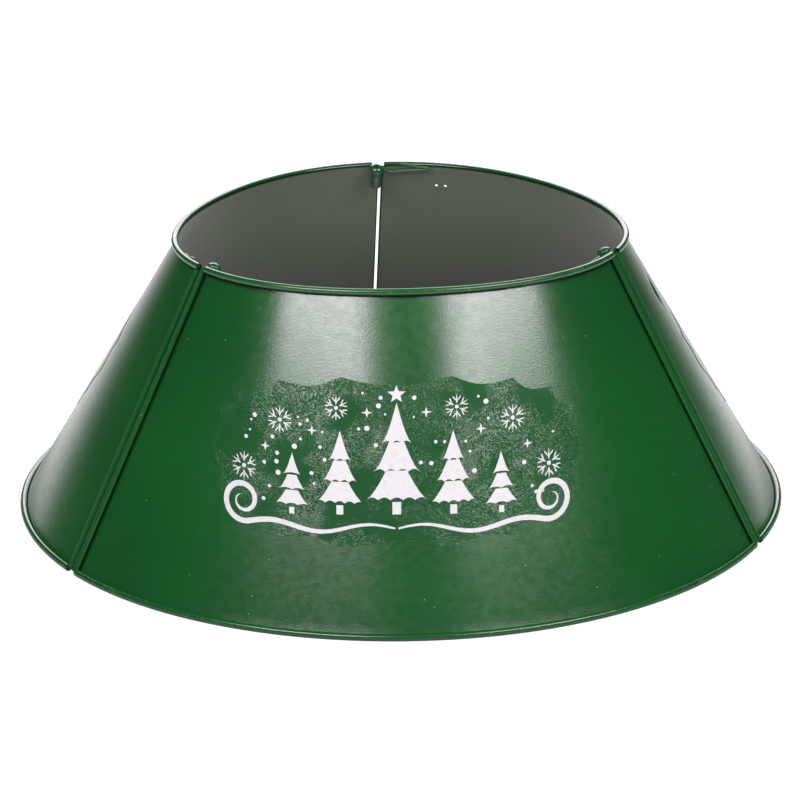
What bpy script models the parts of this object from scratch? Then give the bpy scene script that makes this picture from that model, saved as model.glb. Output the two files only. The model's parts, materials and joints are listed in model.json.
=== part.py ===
"""Christmas tree collar: three bent steel panels with wired edges, screwed together at three seams.

Metres, +Z up. The floor is z = 0 and the trunk of the tree runs up the Z axis. Angles are
measured round that axis from the front (-Y) towards +X, so the front panel's middle is at 0.
Each panel's left and right edge are named as seen from outside the collar.
"""

import math

import bmesh
import bpy
from mathutils import Matrix, Vector

UP = Vector((0, 0, 1))

# The whole collar
bottom_radius = 0.325
top_radius = 0.1884
top_lobe = 0.0072
height = 0.2365
panel_count = 3
panel_names = ("front", "right", "left")
fit_gap = 0.0003

# Sheet and its rolled edges
sheet = 0.0006
rim_roll = 0.0025
side_roll = 0.0022
seam_gap = 0.003
corner_gap = 0.0008
head_cut = 0.003
roll_steps = 10
side_roll_step = math.radians(30)
panel_columns = 20
panel_rows = 4

# Wires inside the rolled edges
rim_wire = 0.0018
side_wire = 0.0015
wire_recess = 0.0005
wire_sides = 6
smooth_angle = math.radians(62)

# Two small holes in the right panel, beside the back seam
hole_radius = 0.0014
hole_drop = 0.0225
hole_distances = (0.048, 0.0555)
hole_sides = 12

# Clear film with the print, one on each panel
film = 0.0002
film_half_height = 0.07
film_ripple = 0.008
film_scallop_count = 6
film_flats = 12
film_left_flats = 3
film_flat_steps = 2
film_middle_share = 0.5
film_end_share = 0.94

# Screws at the seams
axis_side = 0.004
head_radius = 0.006
head_height = 0.0048
shank_radius = 0.003
shank_chamfer = 0.0007
tip_length = 0.001
cross_length = 0.0062
cross_width = 0.0012
cross_depth = 0.0018
washer_radius = 0.0062
washer = 0.001
turn_steps = 16
weld_distance = 0.000003
upper_head_seat = 0.0033
lower_knuckle_rise = 0.012

# Knuckle on the panel that carries the screw
knuckle_radius = 0.0045
knuckle_length = 0.016
foot_back = 0.002
foot_reach = 0.006
foot_thickness = 0.0012
knuckle_start = math.radians(35)
knuckle_stop = math.radians(270)
knuckle_steps = 14

# Hook wires on the other panel: distances lie along the rim from the seam, levels up from the top fold
hook_wire = 0.001
hook_play = 0.0005
settle_distance = 0.0096
settle_drop = 0.0045
tail_distance = 0.043
tail_drop = 0.0009
tail_rise = 0.0013
short_end_distance = 0.018
short_end_rise = 0.0033
leg_steps = 4
short_leg_shares = (0, 0.24, 0.44, 0.62, 0.8, 1)
short_rise_shares = (0, 0, 0.1, 0.7, 0.9, 1)
eye_turn = math.radians(290)
eye_lead = 0.0055
lead_bend = 0.0025
tip_side = 0.0006
lead_steps = 3
tip_steps = 4
hook_turn_steps = 10
bend_steps = 4

# Worked out from the sizes above
half_panel = math.pi / panel_count
rim_outer = rim_roll + sheet / 2
side_outer = side_roll + sheet / 2
edge_offset = seam_gap / 2 + side_outer
corner_cut = side_outer + corner_gap
bore_radius = shank_radius + fit_gap
hook_radius = shank_radius + hook_play + hook_wire
axis_inset = washer_radius + fit_gap + sheet / 2
washer_top = -fit_gap
hook_middle = washer_top - washer - fit_gap - hook_wire
knuckle_top = hook_middle - hook_wire - fit_gap
knuckle_foot = knuckle_top - knuckle_length
shank_length = tip_length - knuckle_foot

for old in list(bpy.data.objects):
    bpy.data.objects.remove(old, do_unlink=True)


def paint(name, colour, roughness, metallic=0.0, alpha=1.0):
    material = bpy.data.materials.new(name)
    material.use_nodes = True
    shader = material.node_tree.nodes["Principled BSDF"]
    shader.inputs["Base Color"].default_value = (*colour, 1)
    shader.inputs["Roughness"].default_value = roughness
    shader.inputs["Metallic"].default_value = metallic
    shader.inputs["Alpha"].default_value = alpha
    return material


enamel = paint("green_enamel", (0.011, 0.075, 0.026), 0.35)
wire_steel = paint("rim_wire_steel", (0.03, 0.08, 0.04), 0.5, 0.6)
hook_paint = paint("hook_wire_enamel", (0.02, 0.09, 0.04), 0.3)
knuckle_paint = paint("knuckle_enamel", (0.03, 0.07, 0.03), 0.5)
screw_paint = paint("screw_enamel", (0.008, 0.08, 0.03), 0.2)
washer_paint = paint("washer_enamel", (0.01, 0.08, 0.03), 0.25)
film_clear = paint("decal_film", (0.05, 0.2, 0.09), 0.08, alpha=0.5)


def add(name, data, material, smooth=True):
    """A new object in the scene, with its material, and smooth where its faces turn gently."""
    piece = bpy.data.objects.new(name, data)
    bpy.context.scene.collection.objects.link(piece)
    if not data.materials:
        data.materials.append(material)
    if smooth:
        data.shade_smooth()
        data.set_sharp_from_angle(angle=smooth_angle)
    return piece


def mesh_of(name, bm):
    mesh = bpy.data.meshes.new(name)
    bm.to_mesh(mesh)
    bm.free()
    return mesh


# The cone: a round bottom, and a top that stands out a little at the seams
def outwards(angle):
    return Vector((math.sin(angle), -math.cos(angle), 0))


def sideways(angle):
    return Vector((math.cos(angle), math.sin(angle), 0))


def bottom_centre(angle):
    """Centre of the bottom rim's roll."""
    return outwards(angle) * (bottom_radius - rim_outer) + UP * rim_outer


def top_centre(angle):
    """Centre of the top rim's roll."""
    radius = top_radius - top_lobe * math.cos(panel_count * angle) - rim_outer
    return outwards(angle) * radius + UP * (height - rim_outer)


class Line:
    """A straight line up the sheet, with the directions up it, along the rim and off it."""

    def __init__(self, bottom_angle, top_angle):
        self.bottom_roll = bottom_centre(bottom_angle)
        self.top_roll = top_centre(top_angle)
        self.side = sideways((bottom_angle + top_angle) / 2)
        self.up = (self.top_roll - self.bottom_roll).normalized()
        self.off = self.side.cross(self.up).normalized()
        self.bottom = self.bottom_roll - self.off * rim_roll
        self.top = self.top_roll - self.off * rim_roll
        self.length = (self.top - self.bottom).length


seam_line = Line(half_panel, half_panel)
bottom_seam_radius = seam_line.bottom.xy.length
top_seam_radius = seam_line.top.xy.length


def edge_line(edge, offset):
    """The line that stays this far from the seam: edge is -1 for a panel's left, +1 for its right."""
    bottom_angle = edge * (half_panel - math.asin(offset / bottom_seam_radius))
    top_angle = edge * (half_panel - math.asin(offset / top_seam_radius))
    return Line(bottom_angle, top_angle)


def between(share):
    """A line between the corner cuts of a panel, from 0 at its left one to 1 at its right one."""
    first = edge_offset + corner_cut + head_cut
    last = edge_offset + corner_cut
    angles = []
    for radius in (bottom_seam_radius, top_seam_radius):
        low = math.asin(first / radius) - half_panel
        high = half_panel - math.asin(last / radius)
        angles.append(low + (high - low) * share)
    return Line(*angles)


panel_lines = [edge_line(-1, edge_offset), edge_line(-1, edge_offset + corner_cut)]
panel_lines += [between(step / panel_columns) for step in range(panel_columns + 1)]
panel_lines += [edge_line(1, edge_offset)]
side_stop_share = 1 - (rim_outer + corner_gap) / seam_line.length
bottom_rolled = range(1, len(panel_lines) - 1)
top_rolled = range(2, len(panel_lines))


def roll_points(centre, start, onward, radius, step):
    """Corners of a roll whose chords touch its circle, from the sheet round to its free edge."""
    reach = radius / math.cos(step / 2)
    points = []
    for corner in range(roll_steps):
        turn = (corner + 0.5) * step
        points.append(centre + (start * math.cos(turn) + onward * math.sin(turn)) * reach)
    return points


def quads(bm, rows):
    """Faces between neighbouring rows of vertices."""
    for low, high in zip(rows, rows[1:]):
        for a, b, c, d in zip(low, low[1:], high[1:], high):
            bm.faces.new((a, b, c, d))


def panel_mesh():
    """The sheet's middle surface: bent plate, top and bottom rolls, and a roll down each side."""
    bm = bmesh.new()
    rows = []
    for share in [row / panel_rows for row in range(panel_rows)] + [side_stop_share, 1]:
        rows.append([bm.verts.new(line.bottom.lerp(line.top, share)) for line in panel_lines])
    quads(bm, rows)

    def rim(row, numbers, centre_name, onward_sign):
        edge_row = [row[number] for number in numbers]
        lines = [panel_lines[number] for number in numbers]
        rings = []
        for line in lines:
            slope = math.acos(line.up.z)
            step = (math.pi / 2 - slope) / 2
            centre = getattr(line, centre_name)
            rings.append(roll_points(centre, -line.off, line.up * onward_sign, rim_roll, step))
        rolled = [[bm.verts.new(ring[corner]) for ring in rings] for corner in range(roll_steps)]
        quads(bm, [edge_row] + rolled)

    rim(rows[0], bottom_rolled, "bottom_roll", -1)
    rim(rows[-1], top_rolled, "top_roll", 1)

    def side(edge_vertices, line, onward):
        columns = []
        for vertex in edge_vertices:
            centre = vertex.co + line.off * side_roll
            corners = roll_points(centre, -line.off, onward, side_roll, side_roll_step)
            columns.append([vertex] + [bm.verts.new(corner) for corner in corners])
        quads(bm, columns)

    side([row[0] for row in rows], panel_lines[0], -panel_lines[0].side)
    side([row[-1] for row in rows[:-1]], panel_lines[-1], panel_lines[-1].side)
    bmesh.ops.recalc_face_normals(bm, faces=bm.faces)
    return mesh_of("panel", bm)


def tube(name, centres, first_ways, second_ways, radius):
    """A round bar through these centres, in the plane of the two ways given at each."""
    bm = bmesh.new()
    rings = []
    for centre, first, second in zip(centres, first_ways, second_ways):
        ring = []
        for corner in range(wire_sides):
            turn = math.tau * corner / wire_sides
            ring.append(bm.verts.new(centre + (first * math.cos(turn) + second * math.sin(turn)) * radius))
        rings.append(ring)
    quads(bm, [ring + ring[:1] for ring in rings])
    bm.faces.new(rings[0])
    bm.faces.new(rings[-1])
    bmesh.ops.recalc_face_normals(bm, faces=bm.faces)
    return mesh_of(name, bm)


def rim_wire_mesh(name, numbers, centre_name):
    lines = [panel_lines[number] for number in numbers]
    centres = [getattr(line, centre_name).copy() for line in lines]
    for end, inner in ((0, 1), (-1, -2)):
        centres[end] += (centres[inner] - centres[end]).normalized() * wire_recess
    return tube(name, centres, [line.off for line in lines], [line.up for line in lines], rim_wire)


def side_wire_mesh(name, line, top_share):
    start = line.bottom + line.off * side_roll + line.up * wire_recess
    end = line.bottom.lerp(line.top, top_share) + line.off * side_roll - line.up * wire_recess
    return tube(name, (start, end), (line.off,) * 2, (line.side,) * 2, side_wire)


def film_mesh():
    """The print's film: it lies on the sheet's flats, and its outline swells and dips in scallops."""
    bm = bmesh.new()
    lift = sheet / 2 + fit_gap + film / 2
    first = top_rolled.start + film_left_flats
    steps = film_flats * film_flat_steps
    rows = ([], [], [])
    for step in range(steps + 1):
        flat = min(step // film_flat_steps, film_flats - 1)
        share = step / film_flat_steps - flat
        near, far = panel_lines[first + flat], panel_lines[first + flat + 1]
        across = 2 * step / steps - 1
        rise = film_half_height * math.sqrt(1 - (across * film_end_share) ** 2)
        rise -= film_ripple * abs(math.sin(math.pi * film_scallop_count * step / steps))
        for row, level in zip(rows, (-rise, 0, rise)):
            sides = []
            for line in (near, far):
                middle = line.bottom.lerp(line.top, film_middle_share)
                sides.append(middle + line.off * lift + line.up * level)
            row.append(bm.verts.new(sides[0].lerp(sides[1], share)))
    quads(bm, rows)
    bmesh.ops.recalc_face_normals(bm, faces=bm.faces)
    return mesh_of("film", bm)


def thicken(piece, thickness):
    solid = piece.modifiers.new("thickness", "SOLIDIFY")
    solid.thickness = thickness
    solid.offset = 0
    solid.use_even_offset = True


# Seams: the hinge axis lies inside the sheet, on the side of the panel that carries the screw
seam_names = ("front_right", "back", "front_left")
seam_angles = {name: half_panel * (2 * number + 1) for number, name in enumerate(seam_names)}


def seam_frame(angle):
    """X off the sheet, Y along the rim, Z up the screw's axis, from the level of the top fold."""
    line = Line(angle, angle)
    origin = line.top + line.side * axis_side - line.off * axis_inset
    frame = Matrix((line.off, line.side, line.up)).transposed().to_4x4()
    return Matrix.Translation(origin) @ frame


def empty(name, frame):
    guide = bpy.data.objects.new(name, None)
    bpy.context.scene.collection.objects.link(guide)
    guide.matrix_world = frame
    return guide


seam_axes = {name: empty(f"{name}_axis", seam_frame(angle)) for name, angle in seam_angles.items()}
panel_carriers = {"front": None, "right": "front_right", "left": "front_left"}


def carry(piece, seam, local=None):
    """Hangs a piece on a seam's axis: in that axis's frame if local is given, else where it is."""
    if seam is None:
        return
    piece.parent = seam_axes[seam]
    if local is None:
        piece.matrix_parent_inverse = seam_axes[seam].matrix_world.inverted()
    else:
        piece.location = local


# Panels, their wires and their film
panel_data = panel_mesh()
wire_data = {
    "bottom_wire": rim_wire_mesh("bottom_wire", bottom_rolled, "bottom_roll"),
    "top_wire": rim_wire_mesh("top_wire", top_rolled, "top_roll"),
    "left_edge_wire": side_wire_mesh("left_edge_wire", panel_lines[0], 1),
    "right_edge_wire": side_wire_mesh("right_edge_wire", panel_lines[-1], side_stop_share),
}
film_data = film_mesh()

for number, panel in enumerate(panel_names):
    turn = 2 * half_panel * number
    pieces = [add(f"{panel}_panel", panel_data, enamel)]
    thicken(pieces[0], sheet)
    pieces += [add(f"{panel}_{wire}", data, wire_steel) for wire, data in wire_data.items()]
    pieces.append(add(f"{panel}_decal", film_data, film_clear))
    thicken(pieces[-1], film)
    for piece in pieces:
        piece.rotation_euler.z = turn
        carry(piece, panel_carriers[panel])


def hole_cutter():
    """Two round pins through the right panel, near its right edge."""
    bm = bmesh.new()
    for distance in hole_distances:
        line = edge_line(1, distance)
        place = line.top - line.up * hole_drop
        turn = Matrix((line.side, line.up, line.off)).transposed().to_4x4()
        bmesh.ops.create_cone(
            bm,
            cap_ends=True,
            segments=hole_sides,
            radius1=hole_radius,
            radius2=hole_radius,
            depth=rim_outer * 2,
            matrix=Matrix.Translation(place) @ turn,
        )
    bmesh.ops.recalc_face_normals(bm, faces=bm.faces)
    return mesh_of("hole_cutter", bm)


cutter = add("hole_cutter", hole_cutter(), enamel)
cutter.rotation_euler.z = 2 * half_panel
carry(cutter, panel_carriers["right"])
cutter.hide_render = True
cutter.display_type = "WIRE"
right_panel = bpy.data.objects["right_panel"]
holes = right_panel.modifiers.new("holes", "BOOLEAN")
holes.operation = "DIFFERENCE"
holes.solver = "EXACT"
holes.object = cutter


# Screws, washers and knuckles, modelled upright with the underside of the head at z = 0
def turned(name, profile):
    """A turned piece: profile is a list of radius and height, round the Z axis."""
    bm = bmesh.new()
    points = [bm.verts.new((radius, 0, level)) for radius, level in profile]
    edges = [bm.edges.new(pair) for pair in zip(points, points[1:])]
    bmesh.ops.spin(
        bm,
        geom=points + edges,
        axis=(0, 0, 1),
        cent=(0, 0, 0),
        steps=turn_steps,
        angle=math.tau,
        use_merge=True,
    )
    bmesh.ops.remove_doubles(bm, verts=bm.verts, dist=weld_distance)
    bmesh.ops.recalc_face_normals(bm, faces=bm.faces)
    return mesh_of(name, bm)


def cross_cutter():
    """Two crossed bars, for the recess in the screw's head."""
    bm = bmesh.new()
    middle = head_height
    for size in ((cross_length, cross_width), (cross_width, cross_length)):
        scale = Matrix.Diagonal((*size, cross_depth * 2, 1))
        bmesh.ops.create_cube(bm, size=1, matrix=Matrix.Translation(UP * middle) @ scale)
    bmesh.ops.recalc_face_normals(bm, faces=bm.faces)
    return mesh_of("cross_cutter", bm)


def screw_mesh():
    rim_share = 0.28
    dome_shares = ((0, 1), (0.45, 0.97), (0.75, 0.84), (0.93, 0.6))
    profile = [(head_radius * across, head_height * up) for across, up in dome_shares]
    profile += [(head_radius, head_height * rim_share), (head_radius, 0), (shank_radius, 0)]
    profile += [(shank_radius, shank_chamfer - shank_length)]
    profile += [(shank_radius - shank_chamfer, -shank_length), (0, -shank_length)]
    screw = add("screw_blank", turned("screw", profile), screw_paint)
    cutter_piece = add("cross_cutter", cross_cutter(), screw_paint)
    recess = screw.modifiers.new("recess", "BOOLEAN")
    recess.operation = "DIFFERENCE"
    recess.solver = "EXACT"
    recess.use_self = True
    recess.object = cutter_piece
    bpy.context.view_layer.update()
    cut = screw.evaluated_get(bpy.context.evaluated_depsgraph_get())
    mesh = bpy.data.meshes.new_from_object(cut)
    for scrap in (screw, cutter_piece):
        bpy.data.objects.remove(scrap, do_unlink=True)
    return mesh


def washer_mesh():
    low = washer_top - washer
    corners = [(bore_radius, low), (washer_radius, low), (washer_radius, washer_top)]
    corners += [(bore_radius, washer_top), (bore_radius, low)]
    return turned("washer", corners)


def face_level(frame, angle, distance):
    """How far the sheet's inner face lies from the screw's axis, at a distance along the rim."""
    near = Line(angle, angle + distance / top_seam_radius)
    return (frame.inverted() @ (near.top - near.off * sheet / 2)).x


def knuckle_outline():
    """Ring round the screw with a foot that reaches the sheet of the panel carrying it."""
    angle = half_panel
    foot_face = face_level(seam_frame(angle), angle, axis_side + foot_reach) - fit_gap
    outline = []
    for step in range(knuckle_steps + 1):
        turn = knuckle_start + (knuckle_stop - knuckle_start) * step / knuckle_steps
        outline.append((knuckle_radius * math.cos(turn), knuckle_radius * math.sin(turn)))
    outline += [(foot_face - foot_thickness, -foot_back - foot_thickness), (foot_face, -foot_back)]
    outline += [(foot_face, foot_reach), (foot_face - foot_thickness, foot_reach)]
    return outline


def add_loop(curve, points):
    spline = curve.splines.new("POLY")
    spline.points.add(len(points) - 1)
    for point, place in zip(spline.points, points):
        point.co = (*place, 1)
    return spline


def knuckle_curve():
    curve = bpy.data.curves.new("knuckle", "CURVE")
    curve.dimensions = "2D"
    curve.fill_mode = "BOTH"
    curve.extrude = knuckle_length / 2
    level = 0.0
    outer = [(across, along, level) for across, along in knuckle_outline()]
    bore = []
    for step in range(turn_steps):
        turn = math.tau * step / turn_steps
        bore.append((bore_radius * math.cos(turn), bore_radius * math.sin(turn), level))
    for points in (outer, bore):
        add_loop(curve, points).use_cyclic_u = True
    return curve


# Hook wires: a closed eye round the screw at the hinges, an open hook at the back seam
def face_point(angle, distance, level):
    """Centre of a wire that lies on the inner face, or above the top fold on the roll's shoulder."""
    radius = (seam_line.top + seam_line.up * level).xy.length
    turn = angle - distance / radius
    line = Line(turn, turn)
    chord_drop = (1 - math.cos(half_panel / panel_columns)) * radius
    reach = rim_outer + fit_gap + hook_wire
    inset = math.sqrt(reach ** 2 - max(level, 0) ** 2) - rim_roll + chord_drop
    return line.top + line.up * level - line.off * inset


def leg_points(frame, angle, start, end, along_shares, rise_shares, drop):
    """A leg of the hook wire along the sheet, in the seam's frame: start and end are distance, level."""
    points = []
    for along, rise in zip(along_shares, rise_shares):
        distance = start[0] + (end[0] - start[0]) * along
        level = start[1] + (end[1] - start[1]) * rise
        points.append(frame.inverted() @ face_point(angle, distance, level - drop))
    return points


def bend_points(frame, angle, drop):
    """The round end that joins the two legs."""
    radius = (tail_rise + tail_drop) / 2
    middle = (tail_rise - tail_drop) / 2 - drop
    points = []
    for step in range(1, bend_steps):
        turn = math.pi * step / bend_steps
        distance = tail_distance + radius * math.sin(turn)
        points.append(frame.inverted() @ face_point(angle, distance, middle - radius * math.cos(turn)))
    return points


def arc_points(centre, radius, first, last, steps, level):
    """Points round a centre in the hook's plane, from one angle to another."""
    points = []
    for step in range(steps + 1):
        turn = first + (last - first) * step / steps
        points.append(centre + Vector((math.cos(turn), math.sin(turn), 0)) * radius + UP * level)
    return points


def eye_points(level):
    """A closed turn round the screw, reached level along the sheet's side of it."""
    lead = Vector((hook_radius, -eye_lead, level))
    return [lead] + arc_points(Vector(), hook_radius, 0, eye_turn, hook_turn_steps, level)


def open_hook_points(level):
    """Across behind the screw and a little way up its inner side, so that it slips off sideways."""
    lead_centre = Vector((hook_radius - lead_bend, -hook_radius - lead_bend, 0))
    lead = arc_points(lead_centre, lead_bend, 0, math.pi / 2, lead_steps, level)
    tip_turn = math.asin(tip_side / hook_radius) - math.pi
    return lead + arc_points(Vector(), hook_radius, -math.pi / 2, tip_turn, tip_steps, level)


def hook_curve(name, seat, drop, is_open):
    """The wire of one hook, in the seam's frame."""
    angle = half_panel
    frame = seam_frame(angle)
    level = seat + hook_middle
    even_shares = [step / leg_steps for step in range(leg_steps + 1)]
    settled = (settle_distance, -settle_drop)
    low_tail = (tail_distance, -tail_drop)
    high_tail = (tail_distance, tail_rise)
    wire_end = (short_end_distance, short_end_rise)
    far_end = leg_points(frame, angle, settled, low_tail, even_shares, even_shares, drop)
    far_end += bend_points(frame, angle, drop)
    far_end += leg_points(frame, angle, high_tail, wire_end, short_leg_shares, short_rise_shares, drop)
    near_end = open_hook_points(level) if is_open else eye_points(level)
    curve = bpy.data.curves.new(name, "CURVE")
    curve.dimensions = "3D"
    curve.bevel_depth = hook_wire
    curve.bevel_resolution = 1
    curve.use_fill_caps = True
    add_loop(curve, near_end[::-1] + far_end)
    return curve


screw_data = screw_mesh()
washer_data = washer_mesh()
knuckle_data = knuckle_curve()
lower_head_seat = lower_knuckle_rise - seam_line.length - knuckle_foot
seats = {"upper": upper_head_seat, "lower": lower_head_seat}

for seam in seam_names:
    is_open = seam == "back"
    for place, seat in seats.items():
        screw = add(f"{seam}_{place}_screw", screw_data, screw_paint)
        carry(screw, seam, UP * seat)
        ring = add(f"{seam}_{place}_washer", washer_data, washer_paint)
        carry(ring, seam, UP * seat)
        knuckle = add(f"{seam}_{place}_knuckle", knuckle_data, knuckle_paint, smooth=False)
        carry(knuckle, seam, UP * (seat + knuckle_top - knuckle_length / 2))
        kind = "hook" if is_open else "eye"
        hook = hook_curve(f"{place}_{kind}", seat, upper_head_seat - seat, is_open)
        wire = add(f"{seam}_{place}_{kind}", hook, hook_paint, smooth=False)
        carry(wire, seam, Vector())
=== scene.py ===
"""Christmas tree collar: three enamelled steel panels with wired edges, screwed together at the seams.

Metres, +Z up, the floor at z = 0 and the trunk along the Z axis. Angles run round that axis from
the front (-Y) towards +X. Left and right edges are named as seen from outside the collar.
"""

import json
import math

import bmesh
import bpy
from mathutils import Matrix, Quaternion, Vector

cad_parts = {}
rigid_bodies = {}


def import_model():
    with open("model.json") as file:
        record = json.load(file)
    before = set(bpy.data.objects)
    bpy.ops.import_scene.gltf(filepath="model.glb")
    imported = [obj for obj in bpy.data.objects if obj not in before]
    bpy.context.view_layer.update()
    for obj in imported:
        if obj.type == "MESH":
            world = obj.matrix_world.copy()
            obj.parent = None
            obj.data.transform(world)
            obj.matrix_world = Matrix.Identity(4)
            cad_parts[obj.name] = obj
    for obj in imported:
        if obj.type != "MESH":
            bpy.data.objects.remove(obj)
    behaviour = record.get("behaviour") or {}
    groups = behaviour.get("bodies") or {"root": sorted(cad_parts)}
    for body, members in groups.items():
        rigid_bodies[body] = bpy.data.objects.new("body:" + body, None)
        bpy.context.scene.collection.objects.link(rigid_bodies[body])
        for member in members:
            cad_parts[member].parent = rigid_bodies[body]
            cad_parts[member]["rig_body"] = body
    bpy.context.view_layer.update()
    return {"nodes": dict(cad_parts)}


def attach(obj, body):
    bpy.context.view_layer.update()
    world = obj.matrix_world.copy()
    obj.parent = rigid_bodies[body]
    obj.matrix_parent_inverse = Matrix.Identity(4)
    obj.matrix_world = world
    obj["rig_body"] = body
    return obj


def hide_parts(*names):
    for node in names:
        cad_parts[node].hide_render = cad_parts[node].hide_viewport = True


for old in list(bpy.data.objects):
    bpy.data.objects.remove(old, do_unlink=True)
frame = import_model()
bpy.ops.object.select_all(action="DESELECT")
scene = bpy.context.scene
scene.view_settings.view_transform = "Standard"


# Camera
# It stands a little left of the middle of the front panel and looks down on the collar, far enough
# off for the two rims to look like a long lens sees them. Its aim lies on the trunk's line.
aim_level = 0.07977
camera_distance = 2.68995
camera_azimuth = -4.7
camera_elevation = 19.798
camera_roll = -0.5412
camera_lens = 142.22


def direction(azimuth, elevation):
    """The way out to a place at these angles, in degrees, as a vector of length 1."""
    azimuth, elevation = math.radians(azimuth), math.radians(elevation)
    across = math.cos(elevation)
    return Vector((math.sin(azimuth) * across, -math.cos(azimuth) * across, math.sin(elevation)))


def look_back(way, roll):
    """The turn that makes a camera or lamp out there look back, rolled by so many degrees."""
    return (-way).to_track_quat("-Z", "Y") @ Quaternion((0, 0, 1), math.radians(roll))


towards_camera = direction(camera_azimuth, camera_elevation)
camera = bpy.data.objects.new("camera", bpy.data.cameras.new("camera"))
scene.collection.objects.link(camera)
scene.camera = camera
camera.data.lens = camera_lens
camera.data.sensor_width = 36
camera.location = Vector((0, 0, aim_level)) + towards_camera * camera_distance
camera.rotation_mode = "QUATERNION"
camera.rotation_quaternion = look_back(towards_camera, camera_roll)


# Floor, surroundings and lamps
# A white studio: a pale floor that keeps the collar's shadow, and two wide soft lamps in front, whose
# reflections are the two pale bands down the front panel. A larger, weaker lamp behind gives the fine
# lines of light along the tops of the beads.
floor_size = 60
floor_grey = 0.45
floor_glow = 0.8
surround_ambient = 0.4
surround_dark = 0.03
surround_below = 0.2
horizon_width = 0.01
# The floor's painted reflection of light and shade: greys by distance from the trunk, in shares of a reach
painted_reflection_reach = 4.0
painted_reflection_stops = ((0.03, 1.1), (0.06, 0.3), (0.088, 0.08), (0.105, 1.0), (0.16, 1.0), (0.4, 0.2))
lamp_tint = (1.0, 0.93, 0.985)
lamp_centre = Vector((0, 0, 0.12))
# Azimuth, elevation and roll in degrees, then distance, width, height and radiance
lamps = {
    "left_lamp": (-36.5, 44.5, 9, 1.9, 1.05, 0.42, 14.5),
    "right_lamp": (40, 43, -10, 1.9, 1.12, 0.42, 12.8),
    "back_lamp": (176, 27, 0, 2.4, 2.0, 1.5, 4),
}


def add_node(tree, kind, sockets=(), **settings):
    """A shader node with its settings, and each socket given a value or another node's output."""
    made = tree.nodes.new("ShaderNode" + kind)
    for name, value in settings.items():
        setattr(made, name, value)
    for name, value in dict(sockets).items():
        if isinstance(value, bpy.types.NodeSocket):
            tree.links.new(value, made.inputs[name])
        else:
            made.inputs[name].default_value = value
    return made


def new_material(name):
    """An empty node material: itself, its tree and its object coordinates."""
    material = bpy.data.materials.new(name)
    material.use_nodes = True
    tree = material.node_tree
    tree.nodes.clear()
    return material, tree, tree.nodes.new("ShaderNodeTexCoord").outputs["Object"]


def show(tree, shader):
    """Puts a shader on the surface."""
    add_node(tree, "OutputMaterial", {"Surface": shader.outputs[0]})


def math_node(tree, operation, first, second=0.0):
    return add_node(tree, "Math", {0: first, 1: second}, operation=operation).outputs[0]


def times(tree, first, second):
    return math_node(tree, "MULTIPLY", first, second)


def seen_directly(tree):
    """A mask that is 1 for what the camera sees itself, also through something clear."""
    path = tree.nodes.new("ShaderNodeLightPath").outputs
    return math_node(tree, "MAXIMUM", path["Is Camera Ray"], path["Is Transmission Ray"])


def mirrored(tree):
    """A mask that is 1 for what is seen in the gloss of something."""
    return tree.nodes.new("ShaderNodeLightPath").outputs["Is Glossy Ray"]


def painted_floor_reflection(tree, place):
    """How white the floor looks in the collar's gloss, a painted reflection: light under the collar's
    middle, with painted shade nearer its wall and just outside its bottom bead, and fading out far off.
    """
    far = add_node(tree, "VectorMath", {0: place}, operation="LENGTH").outputs["Value"]
    shade = add_node(tree, "ValToRGB", {0: times(tree, far, 1 / painted_reflection_reach)})
    stops = shade.color_ramp.elements
    stops[0].position, stops[1].position = painted_reflection_stops[0][0], painted_reflection_stops[-1][0]
    for position, _ in painted_reflection_stops[1:-1]:
        stops.new(position)
    for stop, (position, grey) in zip(stops, painted_reflection_stops):
        stop.position = position
        stop.color = (grey, grey, grey, 1)
    return shade.outputs[0]


bpy.ops.mesh.primitive_plane_add(size=floor_size, location=(0, 0, 0))
floor = bpy.context.object
floor.name = "floor"
material, tree, place = new_material("floor_white")
matt = add_node(tree, "BsdfDiffuse", {"Color": (floor_grey, floor_grey, floor_grey, 1)})
# Painted reflection: the floor's glow seen in gloss, with painted light and shade by distance
sheen = times(tree, mirrored(tree), painted_floor_reflection(tree, place))
seen = math_node(tree, "MAXIMUM", seen_directly(tree), sheen)
glow = add_node(tree, "Emission", {"Strength": times(tree, seen, floor_glow)})
show(tree, add_node(tree, "AddShader", {0: matt.outputs[0], 1: glow.outputs[0]}))
floor.data.materials.append(material)

world = bpy.data.worlds.new("studio")
scene.world = world
world.use_nodes = True
tree = world.node_tree
tree.nodes.clear()
way = tree.nodes.new("ShaderNodeTexCoord").outputs["Generated"]
rise = add_node(tree, "SeparateXYZ", {0: way}).outputs["Z"]
levels = {"Value": rise, "From Min": 0.0, "From Max": horizon_width, "To Min": surround_below}
horizon = add_node(tree, "MapRange", {**levels, "To Max": surround_dark}).outputs["Result"]


def background(strength):
    return add_node(tree, "Background", {"Color": (1, 1, 1, 1), "Strength": strength}).outputs[0]


def mix_shaders(mask, when_off, when_on):
    return add_node(tree, "MixShader", {0: mask, 1: when_off, 2: when_on}).outputs[0]


lit = mix_shaders(mirrored(tree), background(surround_ambient), background(horizon))
shown = mix_shaders(seen_directly(tree), lit, background(1))
add_node(tree, "OutputWorld", {"Surface": shown})

for name, (azimuth, elevation, roll, distance, width, depth, radiance) in lamps.items():
    lamp_data = bpy.data.lights.new(name, "AREA")
    lamp_data.shape = "RECTANGLE"
    lamp_data.size, lamp_data.size_y = width, depth
    lamp_data.energy = radiance * math.pi * width * depth
    lamp_data.color = lamp_tint
    lamp = bpy.data.objects.new(name, lamp_data)
    scene.collection.objects.link(lamp)
    way = direction(azimuth, elevation)
    lamp.location = lamp_centre + way * distance
    lamp.rotation_euler = look_back(way, roll).to_euler()


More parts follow.
